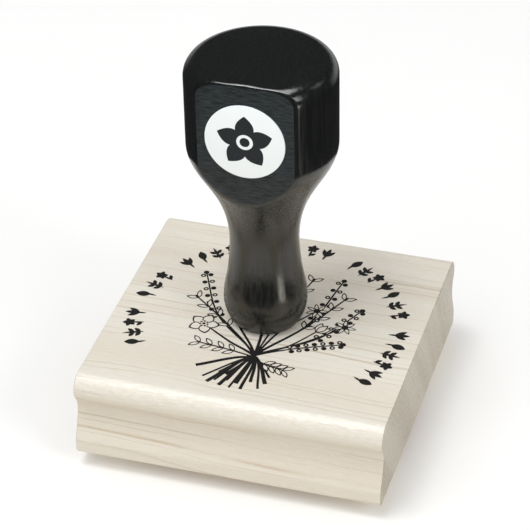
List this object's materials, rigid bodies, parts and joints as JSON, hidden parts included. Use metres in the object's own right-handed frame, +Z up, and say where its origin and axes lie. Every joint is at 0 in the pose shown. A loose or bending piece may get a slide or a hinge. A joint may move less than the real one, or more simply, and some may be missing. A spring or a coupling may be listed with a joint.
{
  "type": "rubber stamp",
  "caption": "Square wood-mounted rubber stamp: moulded maple block with an inked index print, a lacquered turned knob handle, and a cushioned relief rubber die underneath.",
  "frame": {"origin": "centre of the block in plan, on the printing face of the rubber die (the plane the stamp stands on)", "axes": "+Z up along the handle, +X along the block's moulding, -Y towards the front, which the flat and label on the knob face"},
  "size_m": [0.0762, 0.0762, 0.0994],
  "materials": {
    "maple": "sanded, unvarnished pale hard maple with fine brown grain lines along X",
    "black_lacquer": "turned hardwood under glossy black lacquer",
    "label": "smooth white vinyl with a dark printed blossom",
    "screw_steel": "zinc-plated wood screw",
    "cushion_foam": "closed-cell grey foam",
    "adhesive_film": "clear pressure-sensitive film",
    "die_rubber": "laser-cut red stamp rubber, matt",
    "index_ink": "black index ink printed on the wood and on the label"
  },
  "bodies": {
    "root": {"block": "maple", "handle": "black_lacquer", "handle_screw": "screw_steel", "label_disc": "label", "mount_adhesive": "adhesive_film", "cushion": "cushion_foam", "die_adhesive": "adhesive_film", "rubber_die": "die_rubber"}
  },
  "joints": []
}
